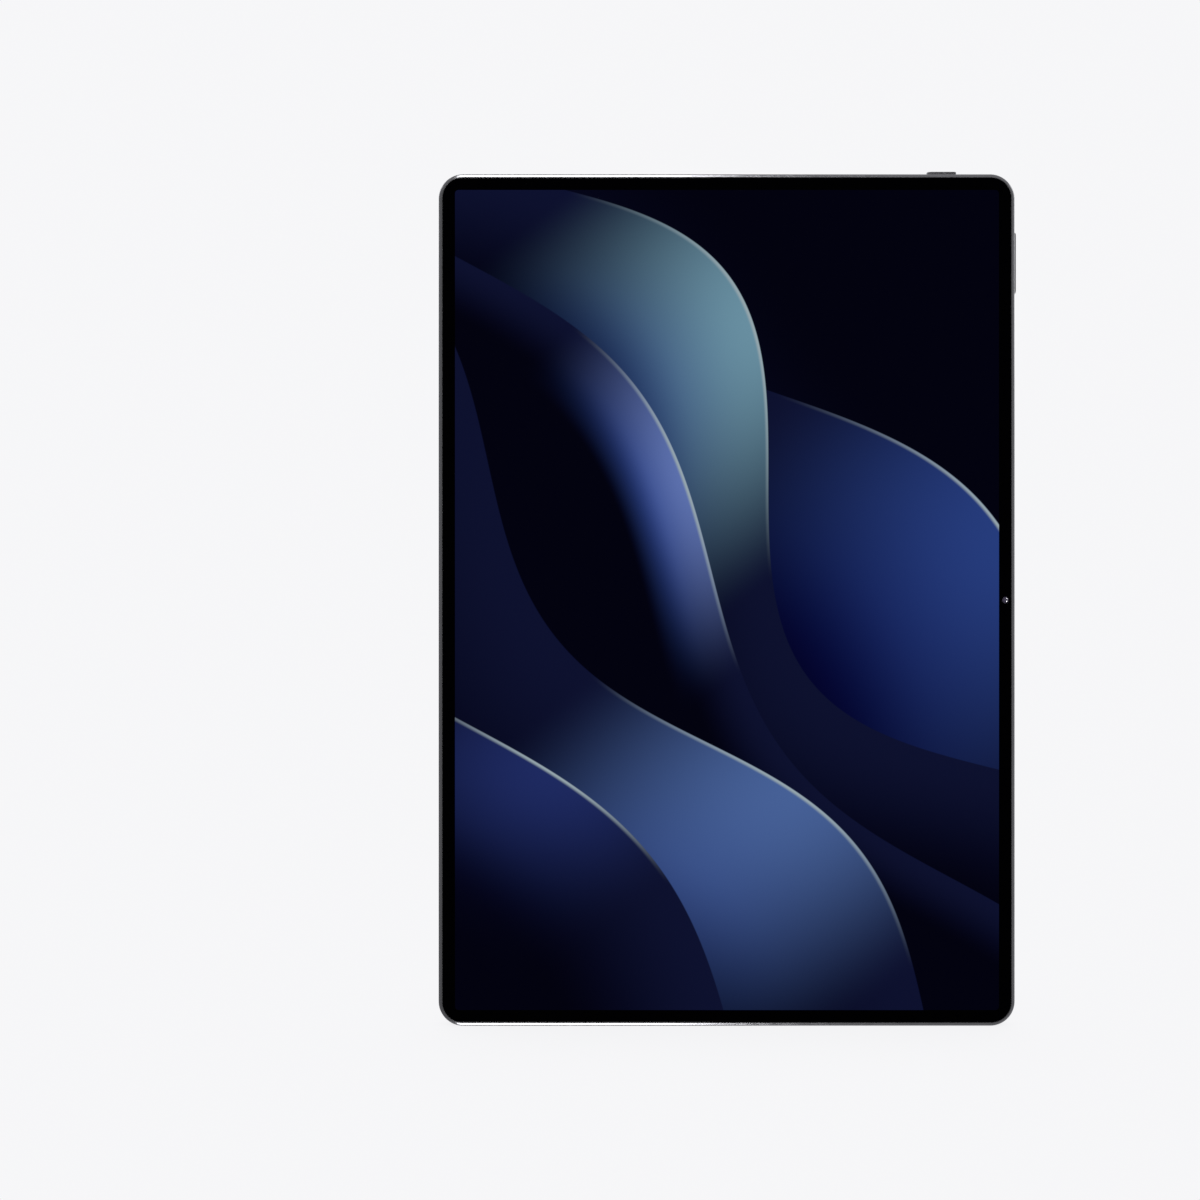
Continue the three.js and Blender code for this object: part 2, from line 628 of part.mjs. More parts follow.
function cameraIsland() {
  const throughHole = [-3, 3];
  const centre = onFace([ISLAND_X, LENS_Z]);
  const plateBody = islandSolid([-BACK_WALL - BOSS_GAP - 0.1, PLATE.top], 0);
  const flange = islandSolid(PLATE.flangeY, PLATE.flange);
  const lensHole = at(disc(PLATE.lensHole, throughHole), 0, 0, LENS_Z);
  const smallHoles = [-1, 1].map((side) =>
    at(disc(SMALL_WINDOW.hole, throughHole), side * SMALL_WINDOW.spread, 0, WINDOWS_Z),
  );
  const plate = cut(join(plateBody, flange), lensHole, ...smallHoles);
  add("camera_plate", plate, MATERIAL.aluminium, onFace([ISLAND_X, 0]));

  const { outer, inner, base, top, chamfer, lip } = RING;
  const ring = turned([
    [inner, base],
    [outer, base],
    [outer, top - chamfer],
    [outer - chamfer, top],
    [inner + lip, top],
    [inner, top - lip],
    [inner, base],
  ]);
  add("camera_ring", ring, MATERIAL.aluminium, centre);
  add("camera_window", disc(WINDOW.radius, WINDOW.y), MATERIAL.darkGlass, centre);

  const { throat, mouth, rim, throatY, mouthY, rimY } = BAFFLE;
  const thickness = rimY - mouthY;
  const funnel = turned([
    [throat, throatY],
    [mouth, mouthY],
    [rim, mouthY],
    [rim, rimY],
    [mouth - thickness, rimY],
    [throat, throatY + thickness],
    [throat, throatY],
  ]);
  add("lens_baffle", funnel, MATERIAL.blackPlastic, centre);
}

function rearCameraModule() {
  const centre = onFace([ISLAND_X, LENS_Z]);
  const bore = disc(LENS.bore, [AUTOFOCUS.y[0] - 1, AUTOFOCUS.y[1] + 1], LENS_STEPS);
  const housing = cut(box(AUTOFOCUS.side, AUTOFOCUS.y, AUTOFOCUS.side), bore);
  add("autofocus_housing", housing, MATERIAL.steel, centre);
  const sensor = box(IMAGE_SENSOR.side, IMAGE_SENSOR.y, IMAGE_SENSOR.side);
  add("image_sensor_board", sensor, MATERIAL.board, centre);

  const [inside, outside] = LENS.y; // the barrel looks out behind the tablet, towards +Y
  const seat = outside - LENS.seat;
  const recess = LENS.glass + 0.1;
  const barrel = [
    [0, inside],
    [LENS.barrel, inside],
    [LENS.barrel, outside],
    [recess, outside],
    [recess, seat],
    [0, seat],
  ];
  add("lens_barrel", turned(barrel, LENS_STEPS), MATERIAL.blackPlastic, centre);

  const element = [
    [0, seat + SOLDER_GAP],
    [LENS.glass, seat + SOLDER_GAP],
    [LENS.glass, outside - LENS.dome / 3],
    [0.8 * LENS.glass, outside + LENS.dome / 3],
    [0.45 * LENS.glass, outside + 0.85 * LENS.dome],
    [0, outside + LENS.dome],
  ];
  add("lens_front_element", turned(element, LENS_STEPS), MATERIAL.lensGlass, centre);
}

function flashAndSensor() {
  const { radius, y, spread } = SMALL_WINDOW;
  const flashAt = onFace([ISLAND_X + spread, WINDOWS_Z]);
  const sensorAt = onFace([ISLAND_X - spread, WINDOWS_Z]);
  const bezel = ringProfile(radius, FLASH.radius + FLASH.gap, y);
  const lensY = [y[0] + FLASH.gap, y[1] - FLASH.gap];
  add("flash_bezel", turned(bezel, LENS_STEPS), MATERIAL.blackPlastic, flashAt);
  add("flash_lens", disc(FLASH.radius, lensY, LENS_STEPS), MATERIAL.phosphor, flashAt);
  add("flash_led", box(FLASH.led, FLASH.ledY, FLASH.led), MATERIAL.phosphor, flashAt);
  add("sensor_window", disc(radius, y, LENS_STEPS), MATERIAL.darkGlass, sensorAt);
  add("sensor_module", box(SENSOR.side, SENSOR.y, SENSOR.side), MATERIAL.chip, sensorAt);
}

// ---- front camera, microphones and antennas

function frontCamera() {
  const { x, radius, bodySide, bodyY, barrelY } = SELFIE;
  const bodyX = INNER_SIDE - WALL_GAP - bodySide / 2;
  add("front_camera_module", box(bodySide, bodyY, bodySide), MATERIAL.chip, [bodyX, 0, 0]);
  add("front_camera_barrel", disc(radius, barrelY, SMALL_ROUND_STEPS), MATERIAL.lensGlass, [x, 0, 0]);
}

function microphonesAndAntennas() {
  const micY = [MIC.y - MIC.height / 2, MIC.y + MIC.height / 2];
  const topMicAt = onFace([MIC.topX, INNER_END - WALL_GAP - MIC.depth / 2]);
  const sideMicAt = onFace([INNER_SIDE - WALL_GAP - MIC.depth / 2, MIC.sideZ]);
  add("top_microphone", box(MIC.length, micY, MIC.depth), MATERIAL.chip, topMicAt);
  add("side_microphone", box(MIC.depth, micY, MIC.length), MATERIAL.chip, sideMicAt);

  const { y, thickness, topLength, topX, sideLength, sideZ } = ANTENNA;
  const topAt = onFace([topX, INNER_END - WALL_GAP - thickness]);
  const sideAt = onFace([WALL_GAP + thickness - INNER_SIDE, sideZ]);
  add("top_antenna", box(topLength, y, thickness), MATERIAL.flex, topAt);
  add("side_antenna", box(thickness, y, sideLength), MATERIAL.flex, sideAt);
}

usbParts();
speakers();
keys();
cameraIsland();
rearCameraModule();
flashAndSensor();
frontCamera();
microphonesAndAntennas();

export default tablet;
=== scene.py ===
"""A slim 13-inch tablet computer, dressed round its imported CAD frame. Lengths are in metres."""

import json
import math

import bmesh
import bpy
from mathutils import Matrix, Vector


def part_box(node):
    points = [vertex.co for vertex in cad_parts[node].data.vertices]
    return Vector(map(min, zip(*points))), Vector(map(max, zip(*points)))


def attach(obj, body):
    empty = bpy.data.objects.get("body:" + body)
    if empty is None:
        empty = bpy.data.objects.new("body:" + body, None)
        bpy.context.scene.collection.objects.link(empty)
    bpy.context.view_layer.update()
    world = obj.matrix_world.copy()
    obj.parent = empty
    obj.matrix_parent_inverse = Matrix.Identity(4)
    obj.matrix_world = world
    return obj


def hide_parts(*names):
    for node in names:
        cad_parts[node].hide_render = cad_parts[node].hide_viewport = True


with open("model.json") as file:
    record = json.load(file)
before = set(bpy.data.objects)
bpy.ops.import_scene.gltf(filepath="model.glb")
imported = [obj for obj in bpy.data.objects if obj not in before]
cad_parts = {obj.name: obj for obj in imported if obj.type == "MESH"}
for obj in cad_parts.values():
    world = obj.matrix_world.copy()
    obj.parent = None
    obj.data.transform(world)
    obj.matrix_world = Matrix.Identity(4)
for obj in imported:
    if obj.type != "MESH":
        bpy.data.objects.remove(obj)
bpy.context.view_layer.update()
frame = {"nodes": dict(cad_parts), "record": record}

MM = 0.001
TABLET, POWER_KEY, VOLUME_KEY, FOCUS_LENS = "tablet", "power_key", "volume_rocker", "focus_lens"
SLOT_OF = {part["node"]: part["material_slot"] for part in frame["record"]["subparts"]}
TONE_OF = {m["slot"]: tuple(m["base_color"][:3]) for m in frame["record"]["materials"]}

# ---------------------------------------------------------------- sizes


def middle(node):
    low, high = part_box(node)
    return (low + high) / 2


def size(node):
    low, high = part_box(node)
    return high - low


housing_low, housing_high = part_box("rear_housing")
glass_low, glass_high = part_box("cover_glass")

# Outline of the body, its glass and the picture
SIDE, END = housing_high.x, housing_high.z  # outer faces of the long and short edges
GLASS_SIDE, GLASS_END = glass_high.x, glass_high.z
GLASS_FRONT, GLASS_BACK = glass_low.y, glass_high.y
RIM_Y = housing_low.y  # front edge of the metal
INK_BORDER = 4.2 * MM
PICTURE_SIDE, PICTURE_END = GLASS_SIDE - INK_BORDER, GLASS_END - INK_BORDER
BODY_RADIUS = 8.2 * MM
GLASS_RADIUS = BODY_RADIUS - (SIDE - GLASS_SIDE)
PICTURE_RADIUS = 1.2 * MM
GLASS_EDGE = 0.2 * MM  # rounding of the glass's front edge

# Housing
WALL, BACK_WALL = 1.9 * MM, 0.8 * MM
LEDGE_Y = -5.6 * MM  # what the glass is glued down on
GLASS_GAP = 0.1 * MM
FRONT_BEVEL, BEVEL_DEPTH = SIDE - GLASS_SIDE - GLASS_GAP, 1.0 * MM
BACK_FILLET = 2.0 * MM
FRONT_SWEEP, BACK_SWEEP = 1.25, 2.3  # power of each edge's curve: 1 is a flat bevel and 2 is a circle
CUT_DEPTH = 2 * WALL
CHAMFER, FINE_CHAMFER, SOCKET_CHAMFER = 0.12 * MM, 0.08 * MM, 0.2 * MM

# Keys and openings
KEY_GAP = 0.15 * MM
KEY_HALF = 1.2 * MM
KEY_EDGE = 0.15 * MM
KEY_REACH = WALL + 0.3 * MM  # how deep a key goes in
POWER_HALF, VOLUME_HALF = 5.0 * MM, 10.35 * MM
SLOT_COUNT, SLOT_PITCH, SLOT_HALF, SLOT_HALF_WIDTH = 6, 5.0 * MM, 1.8 * MM, 0.55 * MM
MIC_RADIUS = 0.5 * MM
POWER, VOLUME = middle("power_button"), middle("volume_key")
USB = middle("usb_c_shell")
USB_HALF, USB_HALF_HEIGHT, USB_WALL = 4.47 * MM, 1.58 * MM, 0.3 * MM
USB_LIP, USB_FLOOR = 0.12 * MM, 0.5 * MM
BLADE_HALF_THICKNESS, BLADE_ROUNDING = 0.35 * MM, 0.15 * MM
SHOULDER_HALF_THICKNESS, SHOULDER_LENGTH = 1.0 * MM, 1.4 * MM
CONTACTS, CONTACT_PITCH, CONTACT_HALF = 12, 0.5 * MM, 0.13 * MM
CONTACT_PROUD, CONTACT_START, CONTACT_END = 0.03 * MM, 0.8 * MM, 3.6 * MM  # the last two from the tip

# Rear camera island, measured from the centre of the lens
LENS, FLASH, SENSOR = middle("camera_ring"), middle("flash_bezel"), middle("sensor_window")
COLLAR_RADIUS, PILL_RADIUS = 13.0 * MM, 11.9 * MM
ISLAND_FLOW = 6.0 * MM  # concave radius where the collar runs into the pill
PILL_DROP = 19.1 * MM
ISLAND_GAP = 0.15 * MM
PLATE_TOP, PLATE_EDGE = 0.9 * MM, 0.4 * MM
PLATE_FOOT = -BACK_WALL - 0.1 * MM
PLATE_CUT_DEPTH = PLATE_TOP - PLATE_FOOT + 0.5 * MM
LENS_HOLE = 8.9 * MM
RING_OUTER, RING_INNER = 12.7 * MM, 10.15 * MM
RING_FOOT, RING_BASE, RING_LIP = 0.95 * MM, 1.05 * MM, 0.35 * MM
RING_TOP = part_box("camera_ring")[1].y
WINDOW_EDGE = 0.15 * MM

# Black print under the camera window, and the stepped funnel inside it
INK_OUTER, INK_INNER, INK_THICKNESS = 9.9 * MM, 7.6 * MM, 0.25 * MM
THROAT_RADIUS, THROAT_Y, FUNNEL_WALL = 3.2 * MM, -0.4 * MM, 0.15 * MM
FUNNEL_STEPS, TREAD, RISER = 9, 0.06 * MM, 0.05 * MM
BARREL_RADIUS, BARREL_LIP, LENS_SEAT = 2.9 * MM, 0.12 * MM, 0.4 * MM
ELEMENT_RADIUS, ELEMENT_RIM = 2.35 * MM, 0.15 * MM
ELEMENT_GAP, SEAT_GAP = 0.05 * MM, 0.02 * MM  # round the glass, and under it

# The island's two small windows, and the flash's crossed grooves
SMALL_HOLE, SMALL_WINDOW, SMALL_CHAMFER, SMALL_EDGE = 4.0 * MM, 3.85 * MM, 0.18 * MM, 0.1 * MM
SMALL_FRONT, SMALL_BACK = (corner.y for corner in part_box("sensor_window"))
FLASH_RADIUS, FLASH_GAP, FLASH_DIP = 2.45 * MM, 0.08 * MM, 0.12 * MM
FLASH_RINGS, FLASH_CORE = 20, 0.02 * MM  # rings across its lens, and the radius of the innermost
GROOVE_DEPTH, GROOVE_HALF_WIDTH = 0.16 * MM, 0.45 * MM
SENSOR_EYE, SENSOR_DIP = 1.0 * MM, 0.2 * MM

# Front camera
SELFIE = middle("front_camera_barrel")
SELFIE_RADIUS, PORT_THICKNESS = 1.35 * MM, 0.2 * MM
SELFIE_LIP, SELFIE_SEAT, SELFIE_RIM, SELFIE_CROWN = 0.08 * MM, 0.02 * MM, 0.2 * MM, 0.5 * MM

# ---------------------------------------------------------------- outlines

CORNER_STEPS = 24
ROUND_STEPS = 96
COLLAR_STEPS, WINDOW_STEPS, SMALL_STEPS, SELFIE_STEPS = 160, 128, 64, 48
TINY = 0.001 * MM  # radius of a turned shape where it meets its axis


def arc(centre, radius, start, end, steps):
    """Points on an arc, from angle start to angle end, both included."""
    angles = [start + (end - start) * i / steps for i in range(steps + 1)]
    return [(centre[0] + radius * math.cos(t), centre[1] + radius * math.sin(t)) for t in angles]


def quarter_turn(steps, whole=True):
    """Angles of a quarter circle, with or without its last one."""
    return [i / steps * math.pi / 2 for i in range(steps + (1 if whole else 0))]


def rounded_rect(half_width, half_height, radius, steps=CORNER_STEPS):
    points = []
    for quarter, (sx, sy) in enumerate([(1, 1), (-1, 1), (-1, -1), (1, -1)]):
        centre = (sx * (half_width - radius), sy * (half_height - radius))
        start = quarter * math.pi / 2
        points += arc(centre, radius, start, start + math.pi / 2, steps)
    return points


def circle(radius, steps=ROUND_STEPS):
    return arc((0, 0), radius, 0, 2 * math.pi * (1 - 1 / steps), steps - 1)


def stadium(half_length, half_width, steps=16):
    """A slot along the first axis, with a half circle at each end."""
    reach = half_length - half_width
    right = arc((reach, 0), half_width, -math.pi / 2, math.pi / 2, steps)
    left = arc((-reach, 0), half_width, math.pi / 2, 1.5 * math.pi, steps)
    return right + left


# An outline as a function of how far it is grown on all sides, which add_hole() needs.


def grown_circle(radius, steps=ROUND_STEPS):
    return lambda grow: circle(radius + grow, steps)


def grown_stadium(half_length, half_width, steps=16):
    return lambda grow: stadium(half_length + grow, half_width + grow, steps)


def island(grow):
    """The camera island's outline about the lens: a round collar that flows into a narrower pill."""
    collar, pill, flow = COLLAR_RADIUS + grow, PILL_RADIUS + grow, ISLAND_FLOW - grow
    waist = -math.sqrt((collar + flow) ** 2 - (pill + flow) ** 2)
    lean = math.atan2(waist, pill + flow)
    points = arc((0, 0), collar, lean, math.pi - lean, 96)
    points += arc((-pill - flow, waist), flow, -lean, 0.0, 8)[1:]
    points += arc((0, -PILL_DROP), pill, math.pi, 2 * math.pi, 64)
    points += arc((pill + flow, waist), flow, math.pi, math.pi + lean, 8)[:-1]
    return points


def edge_curve(inset, out, width, steps=8, power=2.0, depth=None):
    """(inset, out) points round an edge, from the wall to the face at height out."""
    angles = quarter_turn(steps)
    across = [width * (1 - math.cos(t) ** (2 / power)) for t in angles]
    down = [(depth or width) * (1 - math.sin(t) ** (2 / power)) for t in angles]
    return [(inset + a, out - d) for a, d in zip(across, down)]


# Each of these returns a function that places an outline's point (a, b) on a face, or out from it.


def through(x=0.0, z=0.0, facing=1, base=0.0):
    return lambda a, b, out: (x + a, base + facing * out, z + b)


def on_top(x, y):
    return lambda a, b, out: (x + a, y + b, END + out)


def on_bottom(x, y):
    return lambda a, b, out: (x + a, y + b, -END - out)


def on_right(y, z):
    return lambda a, b, out: (SIDE + out, y + b, z + a)


def placed(place, outline, out):
    return [place(a, b, out) for a, b in outline]


def turned(profile, place, steps=ROUND_STEPS):
    """Rings of a turned shape. The profile's points are (radius, out)."""
    return [placed(place, circle(radius, steps), out) for radius, out in profile]


# ---------------------------------------------------------------- meshes

BLASTED, BRIGHT, CUT, SATIN = range(4)  # material numbers on a metal piece, in METAL_SET's order


class Mesh:
    """Vertices and faces being gathered, each face with the number of its material."""

    def __init__(self):
        self.verts, self.faces, self.slots = [], [], []

    def loft(self, rings, slots=0, caps=(0, 0), closed=False):
        """Joins rings of points band by band. Both ends are capped, or the last ring meets the first."""
        count, bands = len(rings[0]), len(rings) - (0 if closed else 1)
        base = len(self.verts)
        for ring in rings:
            self.verts += [tuple(point) for point in ring]
        for band in range(bands):
            low = base + band * count
            high = base + (band + 1) % len(rings) * count
            for i in range(count):
                j = (i + 1) % count
                self.faces.append((low + i, low + j, high + j, high + i))
                self.slots.append(slots[band] if isinstance(slots, list) else slots)
        if not closed:
            last = base + (len(rings) - 1) * count
            self.faces.append(tuple(base + i for i in reversed(range(count))))
            self.faces.append(tuple(last + i for i in range(count)))
            self.slots += list(caps)
        return self

    def block(self, low, high, slot=0):
        """A plain block between two corners."""
        (x0, y0, z0), (x1, y1, z1) = low, high
        rings = [[(x0, y, z0), (x1, y, z0), (x1, y, z1), (x0, y, z1)] for y in (y0, y1)]
        return self.loft(rings, slot, (slot, slot))

    def build(self, name, materials):
        mesh = bpy.data.meshes.new(name)
        mesh.from_pydata(self.verts, [], self.faces)
        for material in materials:
            mesh.materials.append(material)
        mesh.polygons.foreach_set("material_index", self.slots)
        work = bmesh.new()
        work.from_mesh(mesh)
        bmesh.ops.remove_doubles(work, verts=work.verts, dist=1e-8)
        bmesh.ops.recalc_face_normals(work, faces=work.faces)
        work.to_mesh(mesh)
        work.free()
        thing = bpy.data.objects.new(name, mesh)
        bpy.context.scene.collection.objects.link(thing)
        return thing


def smooth(thing, angle=30):
    """Smooth shading that keeps edges over angle degrees crisp and flat faces flat."""
    thing.data.shade_smooth()
    thing.data.set_sharp_from_angle(angle=math.radians(angle))
    weighted = thing.modifiers.new("weighted_normals", "WEIGHTED_NORMAL")
    weighted.keep_sharp = True


def piece(thing, *nodes, body=TABLET, slot=None):
    """Finishes an object as a piece of the tablet that stands for some CAD nodes."""
    smooth(thing)
    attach(thing, body)
    if nodes:
        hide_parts(*nodes)
    return thing


def carve(thing, tools):
    """Cuts every closed shell in tools out of thing. The cut faces keep the tools' material numbers."""
    cutter = tools.build(thing.name + "_cutter", list(thing.data.materials))
    cut = thing.modifiers.new("cut", "BOOLEAN")
    cut.operation, cut.solver, cut.object = "DIFFERENCE", "EXACT", cutter
    carved = bpy.data.meshes.new_from_object(thing.evaluated_get(bpy.context.evaluated_depsgraph_get()))
    thing.modifiers.clear()
    thing.data = carved
    bpy.data.objects.remove(cutter)
    return thing


def add_hole(tools, place, outline, depth, chamfer=CHAMFER, rim=BRIGHT, over=0.6 * MM):
    """Adds a cutter whose mouth flares into a chamfer with material number rim.

    outline(grow) gives the hole's section, and over is how far the cutter reaches out of the face.
    """
    steps = [(chamfer + over, over), (chamfer, 0.0), (0.0, -chamfer), (0.0, -depth)]
    rings = [placed(place, outline(grow), out) for grow, out in steps]
    tools.loft(rings, [rim, rim, CUT], caps=(rim, CUT))


# ---------------------------------------------------------------- materials


def opaque(colour):
    return colour if isinstance(colour, bpy.types.NodeSocket) else (*colour[:3], 1.0)


def srgb(r, g, b):
    """Linear colour from 8-bit screen values."""
    return tuple((c / 255 / 12.92) if c < 11 else ((c / 255 + 0.055) / 1.055) ** 2.4 for c in (r, g, b))


def add_node(tree, kind, inputs=(), **settings):
    """Adds a node to a tree. Each of its inputs is given a value or a socket to link."""
    node = tree.nodes.new("ShaderNode" + kind)
    for name, value in settings.items():
        setattr(node, name, value)
    for key, value in dict(inputs).items():
        if isinstance(value, bpy.types.NodeSocket):
            tree.links.new(value, node.inputs[key])
        else:
            node.inputs[key].default_value = value
    return node


class Shader:
    """A node material with one Principled shader, and short ways to add nodes to it."""

    def __init__(self, name, base, metallic=0.0, roughness=0.5, **sockets):
        self.material = bpy.data.materials.new(name)
        self.material.use_nodes = True
        self.tree = self.material.node_tree
        self.bsdf = self.tree.nodes["Principled BSDF"]
        self.set(Base_Color=base, Metallic=metallic, Roughness=roughness, **sockets)

    def set(self, **sockets):
        for name, value in sockets.items():
            socket = self.bsdf.inputs[name.replace("_", " ")]
            if isinstance(value, bpy.types.NodeSocket):
                self.tree.links.new(value, socket)
            else:
                socket.default_value = opaque(value) if isinstance(value, tuple) else value

    def add(self, kind, inputs=(), **settings):
        return add_node(self.tree, kind, inputs, **settings)

    def show(self, shader):
        """Sends another shader to the surface in place of the Principled one."""
        self.tree.links.new(shader, self.tree.nodes["Material Output"].inputs[0])

    def math(self, operation, *values):
        return self.add("Math", dict(enumerate(values)), operation=operation).outputs[0]

    def ramp(self, value, low, high, to_low=0.0, to_high=1.0):
        """Smooth step of value between low and high."""
        inputs = {"Value": value, "From Min": low, "From Max": high, "To Min": to_low, "To Max": to_high}
        return self.add("MapRange", inputs, interpolation_type="SMOOTHSTEP").outputs[0]

    def blend(self, share, first, second):
        """A colour between two others, each a colour or a socket."""
        inputs = {0: share, 6: opaque(first), 7: opaque(second)}
        return self.add("Mix", inputs, data_type="RGBA").outputs[2]

    def place(self):
        return self.add("TexCoord").outputs["Object"]

    def noise(self, scale, detail=2.0):
        inputs = {"Vector": self.place(), "Scale": scale, "Detail": detail}
        return self.add("TexNoise", inputs).outputs["Fac"]

    def from_axis(self, x, z):
        """Distance from a line through the tablet at x, z, in millimetres."""
        flat = self.add("VectorMath", {0: self.place(), 1: (1 / MM, 0, 1 / MM)}, operation="MULTIPLY")
        centre = {0: flat.outputs[0], 1: (x / MM, 0, z / MM)}
        return self.add("VectorMath", centre, operation="DISTANCE").outputs["Value"]

    def vary_roughness(self, scale, low, high):
        self.set(Roughness=self.ramp(self.noise(scale), 0.3, 0.7, low, high))
        return self

    def bump(self, height, distance, strength=1.0):
        node = self.add("Bump", {"Height": height, "Distance": distance, "Strength": strength})
        self.set(Normal=node.outputs[0])
        return self

    def over_clear(self, share):
        """Lets what lies behind show through, all but share of it."""
        clear = self.add("BsdfTransparent")
        mix = self.add("MixShader", {0: share, 1: clear.outputs[0], 2: self.bsdf.outputs[0]})
        self.show(mix.outputs[0])
        return self


def plain(name, tone, metallic, low, high, scale=900.0, **sockets):
    """An even finish whose roughness wanders between low and high."""
    return Shader(name, tone, metallic, high, **sockets).vary_roughness(scale, low, high).material


METAL_LIGHT, METAL_DARK, METALLIC = (0.345, 0.343, 0.363), (0.315, 0.317, 0.333), 0.85
SCREEN_BLACK = (0.0003, 0.0003, 0.0005)


def blasted_metal():
    """Bead-blasted and anodised: fine grain, with a faint drift of tone."""
    metal = Shader("anodised_metal", METAL_LIGHT, METALLIC, 0.4)
    metal.set(Base_Color=metal.blend(metal.noise(9.0, 1.0), METAL_DARK, METAL_LIGHT))
    grain = metal.noise(7000.0, 3.0)
    metal.set(Roughness=metal.ramp(grain, 0.3, 0.7, 0.36, 0.46))
    return metal.bump(grain, 0.004 * MM, 0.35).material


# The picture on the screen is a made-up set of soft overlapping waves. Each wave has a crest line that
# swings across a slanted axis, and is lit round one place along it.
WAVE_SLANT = math.radians(-52)
NIGHT, DUSK = srgb(2, 2, 14), srgb(13, 17, 46)
CREST_LIGHT = srgb(150, 166, 172)
WAVES = [
    # centre, swing, frequency, phase, depth, lit place, reach, crest colour, colour below
    (0.62, 0.34, 1.9, 0.9, 0.95, 0.45, 0.95, srgb(38, 60, 124), srgb(4, 6, 62)),
    (0.40, 0.34, 2.3, 3.75, 0.62, -0.75, 0.80, srgb(104, 142, 160), srgb(40, 64, 118)),
    (0.02, 0.20, 2.2, 3.4, 0.22, -0.45, 0.70, srgb(92, 112, 172), srgb(44, 66, 134)),
    (-0.38, 0.20, 2.4, 5.4, 0.85, 0.70, 0.80, srgb(70, 96, 150), srgb(46, 66, 122)),
    (-1.02, 0.22, 2.0, 0.4, 0.60, 0.10, 0.60, srgb(30, 42, 96), srgb(6, 8, 34)),
]


def wave_picture():
    """The lit picture behind the glass."""
    screen = Shader("lit_picture", SCREEN_BLACK, 0.0, 0.03, IOR=1.5)
    x, _, z = screen.add("SeparateXYZ", {0: screen.place()}).outputs
    p = screen.math("DIVIDE", x, PICTURE_SIDE)
    q = screen.math("DIVIDE", z, PICTURE_SIDE)
    cos, sin = math.cos(WAVE_SLANT), math.sin(WAVE_SLANT)
    along = screen.math("MULTIPLY_ADD", p, cos, screen.math("MULTIPLY", q, sin))
    across = screen.math("MULTIPLY_ADD", q, cos, screen.math("MULTIPLY", p, -sin))
    picture = screen.blend(screen.ramp(across, 0.9, -0.5), NIGHT, DUSK)
    for centre, swing, frequency, phase, depth, lit_at, reach, bright, deep in WAVES:
        bend = screen.math("SINE", screen.math("MULTIPLY_ADD", along, frequency, phase))
        crest = screen.math("MULTIPLY_ADD", bend, swing, centre)
        below = screen.math("SUBTRACT", crest, across)
        away = screen.math("ABSOLUTE", screen.math("SUBTRACT", along, lit_at))
        lit = screen.ramp(away, reach, 0.0)
        glow = screen.blend(screen.ramp(below, 0.0, depth), bright, deep)
        night = screen.blend(screen.ramp(below, 0.0, depth), DUSK, NIGHT)
        faded = screen.math("MULTIPLY", lit, screen.ramp(below, 1.3 * depth, 0.5 * depth))
        layer = screen.ramp(below, -0.002, 0.003)
        picture = screen.blend(layer, picture, screen.blend(faded, night, glow))
        rim = screen.math("MULTIPLY", screen.ramp(below, 0.018, 0.004), layer)
        picture = screen.blend(screen.math("MULTIPLY", rim, lit), picture, CREST_LIGHT)
    screen.set(Emission_Color=picture, Emission_Strength=1.0)
    return screen.material


def window_glass(share):
    """Clear coated glass that mirrors a little, and more at a slant."""
    glass = Shader("camera_window_glass", (0.85, 0.9, 1.0), 1.0, 0.02)
    fresnel = glass.add("Fresnel", {0: 1.45}).outputs[0]
    return glass.over_clear(glass.math("MULTIPLY_ADD", fresnel, 0.25, share)).material


def lens_coating():
    """Dark glass with a blue coating, and a brighter blue ring round its middle that is a painted
    reflection of the coated inner elements.
    """
    lens = Shader("coated_lens_painted_reflection", (0.004, 0.006, 0.03), 0.0, 0.04, Coat_Weight=1.0, Coat_Roughness=0.02)
    away = lens.from_axis(LENS.x, LENS.z)
    # Painted reflection: the brighter blue ring stands in for light mirrored by the inner coated elements;
    # the dark tint is the glass's own.
    ring = lens.math("MULTIPLY", lens.ramp(away, 0.5, 1.3), lens.ramp(away, 2.2, 1.5))
    rim = lens.blend(lens.ramp(away, 1.6, 2.3), (0.004, 0.007, 0.03), (0.012, 0.028, 0.10))
    lens.set(Base_Color=lens.blend(ring, rim, (0.018, 0.055, 0.22)))
    return lens.material


def phosphor():
    """Pale yellow under a clear lens, deeper over the square light source, with a faint painted glow
    although the flash is off.
    """
    glow = Shader("phosphor_lens_painted_glow", (0.86, 0.80, 0.52), 0.0, 0.2, Coat_Weight=1.0, Coat_Roughness=0.03)
    away = glow.from_axis(FLASH.x, FLASH.z)
    tone = glow.blend(glow.ramp(away, 0.6, 1.9), (0.90, 0.78, 0.36), (0.88, 0.86, 0.74))
    # The emission is a painted glow: the flash is not lit, yet its lens gives off light.
    glow.set(Base_Color=tone, Emission_Color=tone, Emission_Strength=0.3)
    return glow.material


def woven_mesh():
    """Black dust mesh: threads crossing, with the openings between them painted near-black as the shade
    seen through the holes.
    """
    cloth = Shader("woven_dust_mesh", (0.03, 0.03, 0.032), 0.0, 0.7)
    x, y, _ = cloth.add("SeparateXYZ", {0: cloth.place()}).outputs
    pitch = 0.16 * MM
    warp = cloth.math("SINE", cloth.math("MULTIPLY", x, 2 * math.pi / pitch))
    weft = cloth.math("SINE", cloth.math("MULTIPLY", y, 2 * math.pi / pitch))
    thread = cloth.ramp(cloth.math("MAXIMUM", warp, weft), 0.1, 0.9)
    # The near-black in the openings is painted shade; the threads' own black is lighter.
    cloth.set(Base_Color=cloth.blend(thread, (0.004, 0.004, 0.004), (0.05, 0.05, 0.052)))
    return cloth.bump(thread, 0.03 * MM).material


